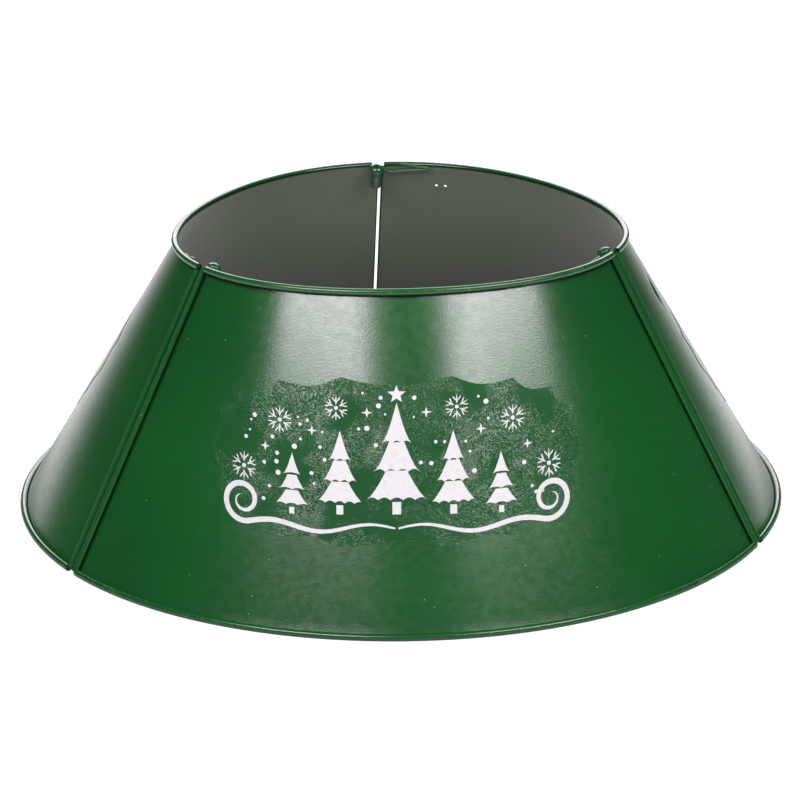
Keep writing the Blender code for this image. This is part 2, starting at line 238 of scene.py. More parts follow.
# Panels
# Three equal plates of bent steel sheet, stove enamelled green. Top, bottom and both sides are rolled
# outwards round a wire; the left side's roll runs up to the top, and the right one stops below it.
bottom_radius = 0.32495
top_radius = 0.1884
top_lobe = 0.0072
height = 0.2365
sheet = 0.0006
rim_roll = 0.0025
side_roll = 0.0022
floor_gap = 0.00001
seam_gap = 0.0022
corner_gap = 0.0003
head_cut = 0.0008
half_panel = math.pi / 3
rim_outer = rim_roll + sheet / 2
side_outer = side_roll + sheet / 2
edge_offset = seam_gap / 2 + side_outer
corner_cut = side_outer + corner_gap
panel_span = math.radians(123)
panel_columns = 124
panel_rows = 24
roll_turn = math.radians(300)
roll_steps = 20
weld_distance = 0.000002
smooth_angle = math.radians(50)
share_slack = 0.0005
bottom_roll = Vector((bottom_radius - rim_outer, 0, rim_outer + floor_gap))
top_roll = Vector((top_radius - rim_outer, 0, height - rim_outer))
slope_up = (top_roll - bottom_roll).normalized()
slope_off = Vector((slope_up.z, 0, -slope_up.x))
bottom_fold = bottom_roll - slope_off * rim_roll
top_fold = top_roll - slope_off * rim_roll
slope_length = (top_fold - bottom_fold).length


def open_mesh(piece):
    """Goes into edit mode on this piece, with nothing selected, and gives its mesh."""
    bpy.context.view_layer.objects.active = piece
    bpy.ops.object.mode_set(mode="EDIT")
    bpy.ops.mesh.select_all(action="DESELECT")
    return bmesh.from_edit_mesh(piece.data)


def select_mesh():
    bpy.ops.mesh.select_all(action="SELECT")


def close_mesh():
    bpy.ops.object.mode_set(mode="OBJECT")


def close_welded():
    """Welds points that lie together, turns the faces outwards and leaves edit mode."""
    select_mesh()
    bpy.ops.mesh.remove_doubles(threshold=weld_distance)
    bpy.ops.mesh.normals_make_consistent(inside=False)
    close_mesh()


def pick(bm, elements, test):
    """Selects these vertices, edges or faces where the test says so."""
    bpy.ops.mesh.select_all(action="DESELECT")
    for element in elements:
        if test(element):
            element.select_set(True)
    bm.select_flush_mode()


def start_piece(name, count):
    """A new piece in edit mode that has only this many vertices, to draw the rest from."""
    bpy.ops.mesh.primitive_plane_add(size=0.01, location=(0, 0, 0))
    piece = bpy.context.object
    piece.name = name
    bm = open_mesh(piece)
    pick(bm, bm.verts, lambda vertex: vertex.index >= count)
    bpy.ops.mesh.delete(type="VERT")
    bm = bmesh.from_edit_mesh(piece.data)
    bm.verts.ensure_lookup_table()
    return piece, bm


def outwards(angle):
    return Vector((math.sin(angle), -math.cos(angle), 0))


def sideways(angle):
    return Vector((math.cos(angle), math.sin(angle), 0))


def angle_of(place):
    return math.atan2(place.x, -place.y)


def lobe_shift(angle, level):
    """How far the sheet stands out of a round cone: nothing at the bottom, most at the top's seams."""
    share = (level - bottom_roll.z) / (top_roll.z - bottom_roll.z)
    return -top_lobe * math.cos(3 * angle) * share


def sheet_radius(angle, level):
    """Distance of the sheet's middle surface from the trunk's line."""
    share = (level - bottom_fold.z) / (top_fold.z - bottom_fold.z)
    return bottom_fold.x + (top_fold.x - bottom_fold.x) * share + lobe_shift(angle, level)


def off_sheet(place):
    """How far a point lies outside the sheet's middle surface."""
    return (place.xy.length - sheet_radius(angle_of(place), place.z)) * slope_up.z


def share_up(place):
    """How far up the sheet a point lies, from 0 at the bottom fold to 1 at the top one."""
    return (place.z - bottom_fold.z) / (top_fold.z - bottom_fold.z)


class Line:
    """A straight line up the sheet at one angle, with the ways up it, along the rim and off it."""

    def __init__(self, angle):
        lobe = outwards(angle) * -top_lobe * math.cos(3 * angle)
        bottom = outwards(angle) * bottom_roll.x + Vector((0, 0, bottom_roll.z))
        top = outwards(angle) * top_roll.x + Vector((0, 0, top_roll.z)) + lobe
        self.side = sideways(angle)
        self.up = (top - bottom).normalized()
        self.off = self.side.cross(self.up).normalized()
        self.bottom = bottom - self.off * rim_roll
        self.top = top - self.off * rim_roll
        self.length = (self.top - self.bottom).length


def panel_blank():
    """One panel's middle surface, from a slant edge spun into rolls, a wall and side rolls."""
    piece, bm = start_piece("plate", 2)
    bm.verts[0].co, bm.verts[1].co = bottom_fold, top_fold
    select_mesh()
    bpy.ops.mesh.subdivide(number_cuts=panel_rows - 1)
    for fold, centre, sign in ((bottom_fold, bottom_roll, -1), (top_fold, top_roll, 1)):
        bm = bmesh.from_edit_mesh(piece.data)
        pick(bm, bm.verts, lambda v: (v.co - fold).length < weld_distance)
        bpy.ops.mesh.spin(steps=roll_steps, angle=-sign * roll_turn, center=centre, axis=(0, 1, 0))
    # The right side's roll ends a little below the top fold, so one row lies there
    stop_share = 1 - (rim_outer + corner_gap) / slope_length
    bm = bmesh.from_edit_mesh(piece.data)
    row = bottom_fold.lerp(top_fold, 1 - 1 / panel_rows)
    for vertex in bm.verts:
        if (vertex.co - row).length < weld_distance:
            vertex.co = bottom_fold.lerp(top_fold, stop_share)
    select_mesh()
    bpy.ops.mesh.spin(steps=panel_columns, angle=panel_span, center=(0, 0, 0), axis=(0, 0, 1))
    bm = bmesh.from_edit_mesh(piece.data)
    spun = [angle_of(v.co) for v in bm.verts]
    turn = Matrix.Rotation(-(min(spun) + max(spun)) / 2, 4, "Z")
    for vertex in bm.verts:
        vertex.co = turn @ vertex.co
        vertex.co += vertex.co.xy.normalized().to_3d() * lobe_shift(angle_of(vertex.co), vertex.co.z)
    bmesh.update_edit_mesh(piece.data)
    return piece, stop_share


def cut_beside(piece, side, offset, test):
    """Cuts faces away along the seam: side is -1 at a panel's left and +1 at its right."""
    inward = sideways(side * half_panel) * -side
    select_mesh()
    bpy.ops.mesh.bisect(plane_co=inward * offset, plane_no=inward, threshold=weld_distance / 2)
    bm = bmesh.from_edit_mesh(piece.data)
    pick(bm, bm.faces, lambda face: face.calc_center_median().dot(inward) < offset and test(face))
    bpy.ops.mesh.delete(type="FACE")


def is_rolled(face, end):
    """True for a face of the bottom (-1) or top (1) roll."""
    place = face.calc_center_median()
    if 0 < share_up(place) < 1:
        return abs(off_sheet(place)) > sheet / 4 and (share_up(place) > 0.5) == (end > 0)
    return (share_up(place) >= 1) == (end > 0)


piece, stop_share = panel_blank()
for side in (-1, 1):
    cut_beside(piece, side, edge_offset, lambda face: True)
    cut_beside(piece, side, edge_offset + corner_cut, lambda face: is_rolled(face, -1))
cut_beside(piece, -1, edge_offset + corner_cut + head_cut, lambda face: is_rolled(face, 1))
for side in (-1, 1):
    bm = bmesh.from_edit_mesh(piece.data)
    inward = sideways(side * half_panel) * -side
    top_share = stop_share if side > 0 else 1

    def on_side(edge):
        for vertex in edge.verts:
            if abs(vertex.co.dot(inward) - edge_offset) > weld_distance * 10:
                return False
            if abs(off_sheet(vertex.co)) > sheet / 6 or share_up(vertex.co) > top_share + share_slack:
                return False
        return all(share_up(vertex.co) > -share_slack for vertex in edge.verts)

    pick(bm, bm.edges, on_side)
    line = Line(side * (half_panel - edge_offset / bottom_fold.x))
    top_line = Line(side * (half_panel - edge_offset / (top_fold.x + top_lobe)))
    along = (top_line.top - line.bottom).normalized()
    centre = line.bottom + line.off * side_roll
    bpy.ops.mesh.spin(steps=roll_steps, angle=side * roll_turn, center=centre, axis=along)
close_welded()


def ramp(tree, value, low, high, at_low=0.0, at_high=1.0):
    """Value mapped smoothly from low..high to at_low..at_high."""
    sockets = {"Value": value, "From Min": low, "From Max": high, "To Min": at_low, "To Max": at_high}
    return add_node(tree, "MapRange", sockets, interpolation_type="SMOOTHSTEP").outputs[0]


def mix_colours(tree, mask, first, second):
    made = add_node(tree, "Mix", {0: mask}, data_type="RGBA")
    for socket, value in ((made.inputs[6], first), (made.inputs[7], second)):
        if isinstance(value, bpy.types.NodeSocket):
            tree.links.new(value, socket)
        else:
            socket.default_value = (*value, 1)
    return made.outputs[2]


def start_group(name, output, inputs):
    """A node group with plain numbers as inputs: its tree, object coordinates, inputs and output."""
    group = bpy.data.node_groups.new(name, "ShaderNodeTree")
    for socket, value in inputs.items():
        made = group.interface.new_socket(socket, in_out="INPUT", socket_type="NodeSocketFloat")
        made.default_value = value
    group.interface.new_socket(output, in_out="OUTPUT", socket_type="NodeSocketFloat")
    given = group.nodes.new("NodeGroupInput").outputs
    result = group.nodes.new("NodeGroupOutput").inputs[0]
    return group, group.nodes.new("ShaderNodeTexCoord").outputs["Object"], given, result


def use_group(tree, name, **values):
    """Places a node group, with this material's own values, and gives its output."""
    made = tree.nodes.new("ShaderNodeGroup")
    made.node_tree = bpy.data.node_groups[name]
    for socket, value in values.items():
        made.inputs[socket].default_value = value
    return made.outputs[0]


def noise(tree, place, scale, detail=2.0, roughness=0.5, distortion=0.0):
    sockets = {"Vector": place, "Scale": scale, "Detail": detail, "Roughness": roughness}
    return add_node(tree, "TexNoise", {**sockets, "Distortion": distortion}).outputs[0]


# Orange peel: the fine dimples of sprayed enamel, on slower swells of the coat
tree, place, given, result = start_group("orange_peel", "Height", {"Grain": 700, "Swell": 0.4})
dimples = noise(tree, place, given["Grain"], 1.0)
swells = noise(tree, place, times(tree, given["Grain"], 0.14), 1.0)
swells = times(tree, swells, given["Swell"])
tree.links.new(math_node(tree, "ADD", dimples, swells), result)

# Specks: dust caught in the coat, as pale dots a few centimetres apart
tree, place, given, result = start_group("specks", "Mask", {"Density": 65, "Size": 0.0006})
cells = add_node(tree, "TexVoronoi", {"Vector": place, "Scale": given["Density"]}).outputs["Distance"]
edge = times(tree, given["Density"], given["Size"])
tree.links.new(ramp(tree, math_node(tree, "DIVIDE", cells, edge), 0.6, 1.0, 1.0, 0.0), result)

# Crackle: short crinkles a few millimetres long, in every direction, stronger in patches
tree, place, given, result = start_group("crackle", "Height", {"Scale": 260, "Patch": 0.45})
field = noise(tree, place, given["Scale"], 3.0, 0.6, 1.6)
ridge = math_node(tree, "ABSOLUTE", math_node(tree, "SUBTRACT", field, 0.5))
ridge = ramp(tree, ridge, 0.0, 0.1, 1.0, 0.0)
patches = math_node(tree, "SUBTRACT", noise(tree, place, 28.0, 2.0), given["Patch"])
patches = ramp(tree, patches, -0.12, 0.1, 0.25, 1.0)
tree.links.new(times(tree, ridge, patches), result)

# Rubbing: where the coat is thin and polished along the beads and corners
tree, place, given, result = start_group("rubbing", "Mask", {"Amount": 0.5, "Scale": 90})
edge_share = add_node(tree, "Attribute", attribute_name="edge").outputs["Fac"]
worn = times(tree, edge_share, noise(tree, place, given["Scale"], 4.0, 0.65))
threshold = math_node(tree, "SUBTRACT", 1.0, given["Amount"])
tree.links.new(ramp(tree, math_node(tree, "SUBTRACT", worn, threshold), 0.0, 0.1), result)

# Painted shade: the dark line painted on the sheet along the foot of the side beads and below the top bead,
# where the beads shade it
bead_shade_below_top = (0.0095, 0.0062)
bead_shade_stop_share = 0.08
tree, place, given, result = start_group("painted_bead_shade", "Mask", {"Near": 0.0064, "Far": 0.0105})
axes = add_node(tree, "SeparateXYZ", {"Vector": place}).outputs
flat_place = add_node(tree, "CombineXYZ", {"X": axes["X"], "Y": axes["Y"]}).outputs[0]
reach = add_node(tree, "VectorMath", {0: flat_place}, operation="LENGTH").outputs["Value"]
turn = math_node(tree, "ARCTAN2", axes["Y"], axes["X"])
turn = math_node(tree, "ADD", turn, half_panel / 2)
from_seam = math_node(tree, "SINE", math_node(tree, "PINGPONG", turn, half_panel))
from_seam = times(tree, from_seam, reach)
beside = ramp(tree, from_seam, given["Near"], given["Far"], 1.0, 0.0)
below = ramp(tree, axes["Z"], height - bead_shade_below_top[0], height - bead_shade_below_top[1])
edge_share = add_node(tree, "Attribute", attribute_name="edge").outputs["Fac"]
off_bead = ramp(tree, edge_share, 0.0, bead_shade_stop_share, 1.0, 0.0)
bead_shade = times(tree, math_node(tree, "MAXIMUM", beside, below), off_bead)
tree.links.new(bead_shade, result)

# Colours for the painted bead shade and for the pale dust specks
bead_shade_colour = (0.0008, 0.006, 0.002)
speck_colour = (0.35, 0.4, 0.33)


def enamel(name, colour, roughness, peel=0.12, grain=700, rub=0.45, specular=0.8, shade_low_down=0.0,
           dust=0.0, bead_shade=0.0):
    """Green stove enamel with orange peel, specks and rubbed edges, with optional painted shade low down
    and along the beads' foot.
    """
    material, tree, place = new_material(name)
    drift = ramp(tree, noise(tree, place, 7.0, 2.0), 0.3, 0.7)
    darker, lighter, shaded_colour = ([channel * share for channel in colour] for share in (0.9, 1.12, 0.4))
    coat = mix_colours(tree, drift, darker, lighter)
    # Painted shade: the coat's colour darkens towards the bottom, where shade falls inside the collar
    if shade_low_down:
        level = add_node(tree, "SeparateXYZ", {"Vector": place}).outputs["Z"]
        depth = ramp(tree, level, height * 0.4, height * 0.9, shade_low_down, 0.0)
        coat = mix_colours(tree, depth, coat, shaded_colour)
    # Painted shade: the dark line along the foot of the beads, mixed into the coat's colour
    if bead_shade:
        corner = times(tree, use_group(tree, "painted_bead_shade"), bead_shade)
        coat = mix_colours(tree, corner, coat, bead_shade_colour)
    rubbed = times(tree, use_group(tree, "rubbing", Amount=rub), 0.5)
    coat = mix_colours(tree, rubbed, coat, [channel * 1.5 + 0.03 for channel in colour])
    dots = use_group(tree, "specks")
    coat = mix_colours(tree, times(tree, dots, 0.75), coat, speck_colour)
    gloss = ramp(tree, noise(tree, place, 160.0, 3.0), 0.3, 0.7, roughness - 0.02, roughness + 0.03)
    relief = use_group(tree, "orange_peel", Grain=grain)
    relief = math_node(tree, "ADD", relief, times(tree, dots, 1.5))
    bump = add_node(tree, "Bump", {"Strength": peel, "Distance": 0.0004, "Height": relief}).outputs[0]
    sockets = {"Base Color": coat, "Roughness": gloss, "Normal": bump, "Specular IOR Level": specular}
    sockets.update({"Sheen Weight": dust, "Sheen Roughness": 0.4})
    show(tree, add_node(tree, "BsdfPrincipled", sockets))
    return material


# The outside's coat takes the painted shade along the beads' foot
panel_green = enamel("panel_green", (0.0045, 0.082, 0.014), 0.22, bead_shade=0.85)
# The inside's coat takes painted shade, darker towards the bottom
inside_finish = {"peel": 0.2, "grain": 900, "rub": 0.2, "specular": 0.5, "shade_low_down": 0.82, "dust": 0.3}
inside_green = enamel("inside_green", (0.128, 0.168, 0.102), 0.5, **inside_finish)


def add_edge_share(piece, share_of):
    """Keeps a share from 0 to 1 for each vertex: how exposed it is, for the rubbed edges, or the film's cut
    edge for its painted highlight.
    """
    wear = piece.data.attributes.new("edge", "FLOAT", "POINT")
    wear.data.foreach_set("value", [share_of(vertex) for vertex in piece.data.vertices])


def bead_share(vertex):
    """How far out on a bead a vertex lies: 0 on the sheet, 1 on the bead's crown."""
    return min(max(off_sheet(vertex.co) / (rim_roll * 2), 0), 1) ** 2


def apply_modifiers(piece):
    bpy.context.view_layer.objects.active = piece
    for modifier in list(piece.modifiers):
        bpy.ops.object.modifier_apply(modifier=modifier.name)


def thicken(piece, thickness, offset, even=False):
    """Gives a surface its thickness: half to each side with offset 0, all outwards with offset 1."""
    modifier = piece.modifiers.new("thickness", "SOLIDIFY")
    modifier.thickness = thickness
    modifier.offset = offset
    modifier.use_even_offset = even
    modifier.use_quality_normals = even
    apply_modifiers(piece)


def cut_out(piece, tool):
    """Takes the shape of another object out of a piece; that object goes."""
    cut = piece.modifiers.new("cut", "BOOLEAN")
    cut.operation = "DIFFERENCE"
    cut.solver = "EXACT"
    cut.object = tool
    apply_modifiers(piece)
    bpy.data.objects.remove(tool, do_unlink=True)


def select_only(piece):
    bpy.ops.object.select_all(action="DESELECT")
    piece.select_set(True)
    bpy.context.view_layer.objects.active = piece


def smooth(piece, angle=smooth_angle):
    select_only(piece)
    bpy.ops.object.shade_smooth_by_angle(angle=angle)
    piece.select_set(False)


def copy_of(piece, name, turn):
    """A copy with its own mesh, moved in the mesh itself."""
    twin = bpy.data.objects.new(name, piece.data.copy())
    scene.collection.objects.link(twin)
    twin.data.transform(turn)
    return twin


def panel_copies(pattern, shape):
    """A copy of a pattern piece on each panel, with the panel's name; the pattern goes."""
    copies = {}
    for number, name in enumerate(("front", "right", "left")):
        turn = Matrix.Rotation(number * half_panel * 2, 4, "Z")
        copies[name] = copy_of(pattern, f"{name}_{shape}", turn)
    bpy.data.objects.remove(pattern, do_unlink=True)
    return copies


def stand_for(piece, node):
    """The piece shows instead of this CAD node: it takes its body."""
    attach(piece, frame["nodes"][node]["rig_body"])
    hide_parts(node)


thicken(piece, sheet, 0, even=True)
piece.data.materials.append(panel_green)
piece.data.materials.append(inside_green)
for face in piece.data.polygons:
    inner = abs(off_sheet(face.center) + sheet / 2) < sheet / 3
    facing_in = face.normal.dot(outwards(angle_of(face.center))) < 0
    if inner and facing_in and 0 < share_up(face.center) < 1:
        face.material_index = 1

# Two small drain holes near the back seam, and a dent beside the front right one
hole_radius = 0.0014
hole_drop = 0.0225
hole_distances = (0.048, 0.0555)
hole_reach = 0.19
dent_angle = math.radians(76.5)
dent_drop = 0.053
dent_depth = 0.0013
dent_length = 0.0115
dent_width = 0.004
dent_slant = 0.25
dent_patch = dent_length * 1.6
dent_limit = 6
dent_near = 0.01


def drill(plate):
    """Two round holes through the right panel, by a pin of 32 sides each."""
    for distance in hole_distances:
        line = Line(math.pi - math.asin(distance / hole_reach))
        facing = Matrix((line.side, line.up, line.off)).transposed().to_4x4()
        bpy.ops.mesh.primitive_cylinder_add(vertices=32, radius=hole_radius, depth=rim_outer * 2)
        pin = bpy.context.object
        pin.matrix_world = Matrix.Translation(line.top - line.up * hole_drop) @ facing
        cut_out(plate, pin)


def dent(plate):
    """A knock in the sheet: finer faces there, pushed in along a short crease."""
    line = Line(dent_angle)
    centre = line.top - line.up * dent_drop
    bm = open_mesh(plate)
    pick(bm, bm.faces, lambda face: (face.calc_center_median() - centre).length < dent_patch)
    bpy.ops.mesh.subdivide(number_cuts=5)
    bm = bmesh.from_edit_mesh(plate.data)
    for vertex in bm.verts:
        local = vertex.co - centre
        along = (local.dot(line.up) + local.dot(line.side) * dent_slant) / dent_length
        across = (local.dot(line.side) - local.dot(line.up) * dent_slant) / dent_width
        spread = along * along + across * across
        if abs(local.dot(line.off)) < dent_near and spread < dent_limit:
            vertex.co -= line.off * dent_depth * math.exp(-spread)
    bmesh.update_edit_mesh(plate.data)
    close_mesh()


for name, plate in panel_copies(piece, "plate").items():
    if name == "right":
        dent(plate)
        drill(plate)
    add_edge_share(plate, bead_share)
    smooth(plate)
    stand_for(plate, f"{name}_panel")


# Wires in the rolled edges
# Drawn steel wire, dipped in the same enamel as the sheet, that stiffens each rolled edge. Only the
# ends show, where the rolls stop at a corner.
wire_green = enamel("wire_green", (0.012, 0.06, 0.022), 0.4, rub=0.3)
for name, node in frame["nodes"].items():
    if name.endswith("_wire"):
        for place in node.material_slots:
            place.material = wire_green


# Clear film
# The print comes on a die-cut clear film, stuck on the middle of each panel. It lies close to the
# enamel, so the green shows through, with a crackle of fine wrinkles and a thin cut edge.
film_thickness = 0.00014
film_gap = 0.00018
film_lift = sheet / 2 + film_gap
film_azimuth = math.radians(-5.4)
film_drop_share = 0.5
film_half_width = 0.152
film_half_height = 0.0685
film_cusps = 18
film_scallop = 0.0065
film_corner_power = 0.72
slice_width = 0.004
slice_height = 0.02


def flat_shape(outline):
    """Adds one flat face with this outline, given as places along and up, to the mesh being edited."""
    area = sum(a[0] * b[1] - b[0] * a[1] for a, b in zip(outline, outline[1:] + outline[:1]))
    points = outline if area > 0 else outline[::-1]
    bpy.ops.mesh.select_all(action="DESELECT")
    bpy.ops.mesh.primitive_circle_add(vertices=len(points), radius=0.01, fill_type="NGON")
    bm = bmesh.from_edit_mesh(bpy.context.object.data)
    face = next(face for face in bm.faces if face.select)
    for corner, point in zip(face.verts, points):
        corner.co = (point[0], point[1], 0)
    face.normal_update()
    if face.normal.z < 0:
        face.normal_flip()
    bmesh.update_edit_mesh(bpy.context.object.data)


def flat_piece(name, outlines):
    """A flat piece made of separate faces, sliced so that it can bend round the cone."""
    made = start_piece(name, 0)[0]
    for outline in outlines:
        flat_shape(outline)
    for axis, step in ((0, slice_width), (1, slice_height)):
        count = int(max(abs(point[axis]) for outline in outlines for point in outline) / step)
        for number in range(-count, count + 1):
            select_mesh()
            place, way = Vector(), Vector()
            place[axis], way[axis] = number * step, 1
            bpy.ops.mesh.bisect(plane_co=place, plane_no=way, threshold=weld_distance)
    close_mesh()
    return made


def wrap(piece, lift):
    """Bends a flat piece round the front panel, this far off the sheet's middle surface."""
    centre = Line(film_azimuth)
    middle = centre.bottom.lerp(centre.top, film_drop_share)
    for vertex in piece.data.vertices:
        along, rise = vertex.co.x, vertex.co.y
        level = middle.z + rise * centre.up.z
        turn = film_azimuth + along / sheet_radius(film_azimuth, level)
        line = Line(turn)
        share = (level - line.bottom.z) / (line.top.z - line.bottom.z)
        vertex.co = line.bottom.lerp(line.top, share) + line.off * lift


def film_outline():
    points = []
    count = film_cusps * 16
    for step in range(count):
        turn = math.tau * step / count
        dip = film_scallop * abs(math.sin(film_cusps * turn / 2))
        point = []
        for way, reach in ((math.cos(turn), film_half_width), (math.sin(turn), film_half_height)):
            point.append(math.copysign(abs(way) ** film_corner_power, way) * (reach - dip))
        points.append(point)
    return points


def film_material():
    """Green under clear film: dull, with glints along the wrinkles and a gloss where it is seen edge-on."""
    material, tree, place = new_material("film_clear")
    drift = ramp(tree, noise(tree, place, 7.0, 2.0), 0.3, 0.7)
    coat = mix_colours(tree, drift, (0.0045, 0.07, 0.0145), (0.006, 0.08, 0.017))
    # Painted highlight: the film's cut edge is painted a lighter green
    rim = add_node(tree, "Attribute", attribute_name="edge").outputs["Fac"]
    coat = mix_colours(tree, rim, coat, (0.01, 0.09, 0.022))
    wrinkles = use_group(tree, "crackle")
    bump = add_node(tree, "Bump", {"Strength": 0.22, "Distance": 0.0003, "Height": wrinkles}).outputs[0]
    glints = ramp(tree, wrinkles, 0.3, 0.95)
    stuck = ramp(tree, noise(tree, place, 26.0, 1.0), 0.6, 0.72)
    facing = add_node(tree, "LayerWeight", {"Blend": 0.5}).outputs["Facing"]
    glossy = math_node(tree, "MAXIMUM", glints, stuck)
    glossy = math_node(tree, "MAXIMUM", glossy, ramp(tree, facing, 0.5, 0.75))
    sockets = {"Base Color": coat, "Normal": bump}
    dull = add_node(tree, "BsdfPrincipled", {**sockets, "Roughness": 0.5, "Specular IOR Level": 0.12})
    bright = add_node(tree, "BsdfPrincipled", {**sockets, "Roughness": 0.2, "Specular IOR Level": 0.7})
    show(tree, add_node(tree, "MixShader", {0: glossy, 1: dull.outputs[0], 2: bright.outputs[0]}))
    return material


film = flat_piece("film", [film_outline()])
wrap(film, film_lift)
thicken(film, film_thickness, 1)
# The film's cut edge, which takes a painted highlight
rim_vertices = set()
for face in film.data.polygons:
    if abs(face.normal.dot(Line(angle_of(face.center)).off)) < 0.5:
        rim_vertices.update(face.vertices)
add_edge_share(film, lambda vertex: float(vertex.index in rim_vertices))
film.data.materials.append(film_material())
for name, twin in panel_copies(film, "film").items():
    smooth(twin)
    stand_for(twin, f"{name}_decal")


# White print
# A row of little fir trees on a curling ribbon, with stars, snowflakes and snow round them, in white
# ink that stands a hair above the clear film. The motifs' places and sizes are in millimetres, from
# the film's middle.
print_thickness = 0.00006
mm = 0.001
trees = ((0, -40, 88, 48), (-44, -41, 66, 38), (44, -41, 66, 38), (-82, -43, 48, 29), (82, -43, 48, 29))
trunk_rise_share = 0.11
trunk_half_share = 0.07
tier_count = 3
tier_gap = 1.4
tier_step = 0.29
tier_overlap = 0.03
tier_narrowing = 0.26
tier_neck = 0.34
side_droop = 0.72
hem_lift = 1.0
hem_depth = 0.045
hem_drop = 0.02
stars = ((0, 54.5, 7.5), (-23, 40, 4.4), (23, 40, 4.4), (-66, 24, 4.4), (66, 24, 4.4))
stars += ((-104, 8, 4), (104, 8, 4))
snowflakes = ((-47, 43, 10.5), (47, 43, 10.5), (-92, 30, 11.5), (92, 30, 11.5))
snowflakes += ((-122, -10, 12), (122, -10, 12))
flake_arm = ((0.24, 0), (0.42, 0.0715), (1, 0), (0.42, -0.0715))
flake_barb = ((0.56, 0.07), (0.84, 0.3), (0.7, 0.3), (0.46, 0.09))
snow_count = 46
snow_reach = 128
snow_foot = -36
snow_rise = 92
snow_least = 0.9
snow_spread = 1.3
snow_field = (138, 58)
snow_gap = 1.8
first_draw = 11
draw_range = 2 ** 31
ribbon_start = 1.2
ribbon_level = -51
ribbon_reach = 118
ribbon_width = 4.6
ribbon_wave = 3.2
ribbon_sink = 2
ribbon_steps = 40
ribbon_least = 0.28
ribbon_tip = 0.08
curl_radius = 17
curl_closing = 0.78
curl_turn = math.radians(560)
curl_steps = 90


def star_outline(along, rise, radius, points, inner_share):
    """A star with this many points, or a round flake if its inner corners lie as far out."""
    outline = []
    for step in range(points * 2):
        reach = radius * (inner_share if step % 2 else 1)
        angle = math.pi / 2 + math.pi * step / points
        outline.append((along + reach * math.cos(angle), rise + reach * math.sin(angle)))
    return outline


def tree_outlines(along, foot, rise, width):
    """A fir tree of three drooping tiers and a trunk, each a separate patch of ink."""
    trunk_top = foot + rise * trunk_rise_share
    start, stop = along - width * trunk_half_share, along + width * trunk_half_share
    outlines = [[(start, foot), (stop, foot), (stop, trunk_top), (start, trunk_top)]]
    crown = rise * (1 - trunk_rise_share) - tier_gap
    for tier in range(tier_count):
        is_tip = tier == tier_count - 1
        low = trunk_top + tier_gap + crown * tier * tier_step
        high = foot + rise if is_tip else low + crown * (tier_step + tier_overlap) - tier_gap
        half_low = width / 2 * (1 - tier_narrowing * tier)
        half_high = 0 if is_tip else half_low * tier_neck
        hem, edge = [], []
        scallops = 3 + (width > 35) * 2 - tier
        for step in range(scallops * 6 + 1):
            share = step / (scallops * 6)
            lift = hem_lift + abs(math.sin(math.pi * scallops * share)) * width * hem_depth
            hem.append((along + half_low * (2 * share - 1), low + lift - width * hem_drop))
        for step in range(1, 11):
            share = step / 10
            half = half_low + (half_high - half_low) * share ** side_droop
            edge.append((half, low + (high - low) * share))
        right = [(along + half, level) for half, level in edge]
        left = [(along - half, level) for half, level in reversed(edge)]
        outlines.append(hem + right + (left[1:] if is_tip else left))
    return outlines


def snowflake_outlines(along, rise, radius):
    """Six arms, each a slim kite with a chevron across it, round a small hexagon."""
    outlines = [star_outline(along, rise, radius * 0.16, 3, 1.0)]
    centre = Vector((along, rise))
    for arm in range(6):
        angle = math.tau * arm / 6 + math.pi / 6
        out = Vector((math.cos(angle), math.sin(angle))) * radius
        side = Vector((-math.sin(angle), math.cos(angle))) * radius
        outlines.append([centre + out * reach + side * swing for reach, swing in flake_arm])
        for sign in (-1, 1):
            outlines.append([centre + out * reach + side * sign * swing for reach, swing in flake_barb])
    return outlines


def ribbon_outlines():
    """A flowing line under the trees that ends in a curl at each side; one strip for each half."""
    centres = []
    for step in range(ribbon_steps + 1):
        share = step / ribbon_steps
        wave = ribbon_wave * math.sin(share * math.tau * 1.5)
        along = ribbon_start + (ribbon_reach - ribbon_start) * share
        centres.append((along, ribbon_level + wave - ribbon_sink * share))
    x, y = centres[-1]
    heading = math.atan2(y - centres[-2][1], x - centres[-2][0])
    turn = curl_turn / curl_steps
    for step in range(1, curl_steps + 1):
        radius = curl_radius * (1 - curl_closing * step / curl_steps)
        heading += turn
        x += radius * turn * math.cos(heading)
        y += radius * turn * math.sin(heading)
        centres.append((x, y))
    total = len(centres) - 1
    outlines = []
    for sign in (-1, 1):
        left, right = [], []
        for number, (x, y) in enumerate(centres):
            before = centres[max(number - 1, 0)]
            after = centres[min(number + 1, total)]
            way = Vector((after[0] - before[0], after[1] - before[1])).normalized()
            share = number / total
            swell = math.sin(math.pi * min(share * 1.15, 1)) ** 0.8
            half = ribbon_width / 2 * (ribbon_least + (1 - ribbon_least) * swell)
            if share > 1 - ribbon_tip:
                half *= max((1 - share) / ribbon_tip, 0.12)
            left.append(((x - way.y * half) * sign, y + way.x * half))
            right.append(((x + way.y * half) * sign, y - way.x * half))
        outlines.append(right + left[::-1])
    return outlines


def snow_outlines(taken):
    """Round flakes of snow, where they touch nothing else of the print."""
    outlines = []
    placed = list(taken)
    draw = first_draw
    while len(outlines) < snow_count:
        values = []
        for _ in range(3):
            draw = (draw * 1103515245 + 12345) % draw_range
            values.append(draw / draw_range)
        along = (values[0] * 2 - 1) * snow_reach
        rise = snow_foot + values[1] * snow_rise
        size = snow_least + values[2] * snow_spread
        clear = all(math.hypot(along - x, rise - y) >= r + size + snow_gap for x, y, r in placed)
        if clear and abs(rise) <= snow_field[1] * math.sqrt(max(1 - (along / snow_field[0]) ** 2, 0)):
            placed.append((along, rise, size))
            outlines.append(star_outline(along, rise, size, 8, 1.0))
    return outlines


